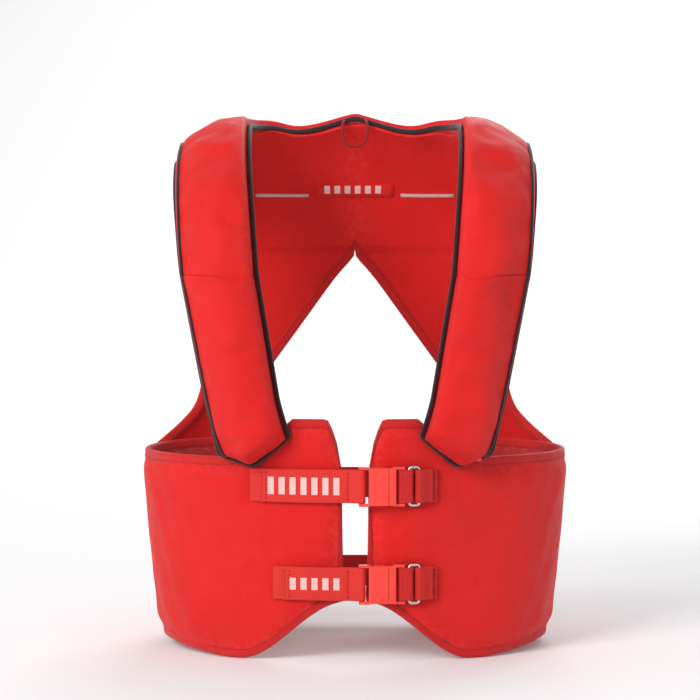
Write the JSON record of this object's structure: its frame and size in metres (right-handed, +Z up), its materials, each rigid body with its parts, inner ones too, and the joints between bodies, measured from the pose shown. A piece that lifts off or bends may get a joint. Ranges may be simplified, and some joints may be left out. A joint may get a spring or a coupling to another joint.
{
  "type": "inflatable life jacket",
  "caption": "Waistcoat-style inflatable life jacket: wide waist band, two shoulder lobes, back yoke and two strap closures at the front.",
  "frame": {"origin": "on the wearer's vertical axis, level with the lowest point of the hem", "axes": "+Z up the wearer's spine, -Y the way the wearer faces, +X the wearer's left"},
  "size_m": [0.3322, 0.2329, 0.4115],
  "materials": {
    "shell_fabric": "woven coated polyester, soft sheen",
    "band_foam": "soft closed-cell foam sheet",
    "lining_fabric": "plain woven lining",
    "edge_binding": "folded woven tape",
    "bladder_film": "coated fabric, satin",
    "front_webbing": "woven webbing",
    "back_webbing": "woven webbing",
    "buckle_plastic": "moulded acetal, satin gloss",
    "ring_steel": "polished stainless wire",
    "adjuster_plastic": "moulded acetal",
    "loop_tape": "woven tape",
    "inflator_plastic": "moulded, matt",
    "lever_plastic": "moulded, matt",
    "pin_steel": "turned steel",
    "cylinder_steel": "zinc plated steel",
    "cartridge_plastic": "moulded, matt",
    "toggle_plastic": "moulded, matt",
    "pull_cord": "braided cord",
    "tube_rubber": "smooth rubber",
    "valve_plastic": "moulded, matt",
    "whistle_plastic": "moulded, glossy"
  },
  "bodies": {
    "root": {"hanging_loop": "loop_tape", "lower_back_belt_right": "back_webbing", "lower_buckle_socket": "buckle_plastic", "lower_strap": "front_webbing", "oral_tube": "tube_rubber", "oral_valve": "valve_plastic", "right_band_binding": "edge_binding", "right_band_cover": "shell_fabric", "right_band_foam": "band_foam", "right_band_lining": "lining_fabric", "right_bladder": "bladder_film", "right_lobe_backing": "lining_fabric", "right_lobe_binding": "edge_binding", "right_lobe_casing": "shell_fabric", "right_yoke": "shell_fabric", "right_yoke_binding": "edge_binding", "upper_back_belt_right": "back_webbing", "upper_buckle_socket": "buckle_plastic", "upper_strap": "front_webbing", "whistle": "whistle_plastic"},
    "left_half": {"auto_cartridge": "cartridge_plastic", "inflator_body": "inflator_plastic", "left_band_binding": "edge_binding", "left_band_cover": "shell_fabric", "left_band_foam": "band_foam", "left_band_lining": "lining_fabric", "left_bladder": "bladder_film", "left_lobe_backing": "lining_fabric", "left_lobe_binding": "edge_binding", "left_lobe_casing": "shell_fabric", "left_yoke": "shell_fabric", "left_yoke_binding": "edge_binding", "lever_pin": "pin_steel", "lower_back_belt_left": "back_webbing", "lower_buckle_plug": "buckle_plastic", "lower_link": "front_webbing", "lower_ring": "ring_steel", "lower_tab": "front_webbing", "upper_back_belt_left": "back_webbing", "upper_buckle_plug": "buckle_plastic", "upper_link": "front_webbing", "upper_ring": "ring_steel", "upper_tab": "front_webbing"},
    "left_flap": {"left_lobe_flap": "shell_fabric"},
    "right_flap": {"right_lobe_flap": "shell_fabric"},
    "upper_arm_top": {"upper_buckle_arm_top": "buckle_plastic"},
    "upper_arm_bottom": {"upper_buckle_arm_bottom": "buckle_plastic"},
    "lower_arm_top": {"lower_buckle_arm_top": "buckle_plastic"},
    "lower_arm_bottom": {"lower_buckle_arm_bottom": "buckle_plastic"},
    "upper_adjuster": {"upper_back_adjuster": "adjuster_plastic"},
    "lower_adjuster": {"lower_back_adjuster": "adjuster_plastic"},
    "lever": {"inflator_lever": "lever_plastic"},
    "toggle": {"pull_toggle": "toggle_plastic", "pull_cord": "pull_cord"},
    "cylinder": {"gas_cylinder": "cylinder_steel"},
    "valve_button": {"oral_valve_button": "valve_plastic"}
  },
  "joints": [
    {"name": "front_opening", "type": "hinge", "parent": "root", "child": "left_half", "pos_m": [0, 0.108, 0], "axis": [0, 0, 1], "range_deg": [0, 60], "deforming": ["upper_buckle_arm_top", "upper_buckle_arm_bottom", "lower_buckle_arm_top", "lower_buckle_arm_bottom"]},
    {"name": "left_flap_opening", "type": "hinge", "parent": "left_half", "child": "left_flap", "pos_m": [0.10094, -0.09675, 0.144], "axis": [0.1943, 0.1161, 0.974], "range_deg": [0, 100]},
    {"name": "right_flap_opening", "type": "hinge", "parent": "root", "child": "right_flap", "pos_m": [-0.10094, -0.09675, 0.144], "axis": [0.1943, -0.1161, -0.974], "range_deg": [0, 100]},
    {"name": "upper_buckle_squeeze", "type": "hinge", "parent": "left_half", "child": "upper_arm_top", "pos_m": [0.02462, -0.11786, 0.1415], "axis": [0.1083, -0.9941, 0], "range_deg": [0, 12], "stiffness_Nm_per_rad": 0.05},
    {"name": "upper_buckle_squeeze_below", "type": "hinge", "parent": "left_half", "child": "upper_arm_bottom", "pos_m": [0.02462, -0.11786, 0.1235], "axis": [-0.1083, 0.9941, 0], "range_deg": [0, 12], "stiffness_Nm_per_rad": 0.05},
    {"name": "lower_buckle_squeeze", "type": "hinge", "parent": "left_half", "child": "lower_arm_top", "pos_m": [0.02462, -0.11786, 0.068], "axis": [0.1083, -0.9941, 0], "range_deg": [0, 12], "stiffness_Nm_per_rad": 0.05},
    {"name": "lower_buckle_squeeze_below", "type": "hinge", "parent": "left_half", "child": "lower_arm_bottom", "pos_m": [0.02462, -0.11786, 0.05], "axis": [-0.1083, 0.9941, 0], "range_deg": [0, 12], "stiffness_Nm_per_rad": 0.05},
    {"name": "upper_back_adjustment", "type": "slide", "parent": "root", "child": "upper_adjuster", "axis": [1, 0, 0], "range_m": [-0.012, 0.016]},
    {"name": "lower_back_adjustment", "type": "slide", "parent": "root", "child": "lower_adjuster", "axis": [1, 0, 0], "range_m": [-0.012, 0.016]},
    {"name": "toggle_pull", "type": "slide", "parent": "left_half", "child": "toggle", "axis": [-0.1777, -0.0785, -0.981], "range_m": [0, 0.014]},
    {"name": "lever_turn", "type": "hinge", "parent": "left_half", "child": "lever", "pos_m": [0.0961, -0.10104, 0.1904], "axis": [0.388, -0.9216, 0.0034], "range_deg": [0, 25.1]},
    {"name": "cylinder_unscrewing", "type": "hinge", "parent": "left_half", "child": "cylinder", "pos_m": [0.08561, -0.11281, 0.19834], "axis": [0.1777, 0.0785, 0.981], "continuous": true},
    {"name": "oral_valve_press", "type": "slide", "parent": "root", "child": "valve_button", "axis": [0.1777, -0.0785, -0.981], "range_m": [0, 0.003], "stiffness_N_per_m": 150}
  ],
  "couplings": [
    {"joint": "upper_buckle_squeeze_below", "follows": "upper_buckle_squeeze", "ratio": 1},
    {"joint": "lower_buckle_squeeze_below", "follows": "lower_buckle_squeeze", "ratio": 1},
    {"joint": "lever_turn", "follows": "toggle_pull", "rad_per_m": 31.167}
  ]
}
